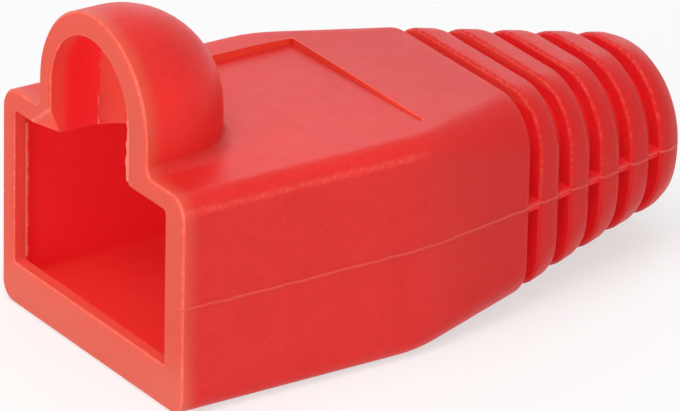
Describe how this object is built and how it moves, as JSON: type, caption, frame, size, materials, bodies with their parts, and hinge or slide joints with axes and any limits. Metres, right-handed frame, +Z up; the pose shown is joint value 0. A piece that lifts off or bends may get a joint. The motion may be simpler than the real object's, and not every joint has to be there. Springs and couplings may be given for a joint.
{
  "type": "rj45 strain relief boot",
  "caption": "Slip-on strain relief boot for a modular plug, with a domed latch hood, an open plug socket and a ringed tapering tail with a cable bore.",
  "frame": {"origin": "on the flat underside's plane and the plane of symmetry, at the front face of the mouth", "axes": "+X from the mouth along the boot to the tail's end, +Y across the boot, +Z up towards the latch hood"},
  "size_m": [0.0274, 0.014, 0.0152],
  "materials": {
    "soft_pvc": "soft satin red vinyl, moulded, with a fine surface grain"
  },
  "bodies": {
    "root": {"boot": "soft_pvc"}
  },
  "joints": []
}
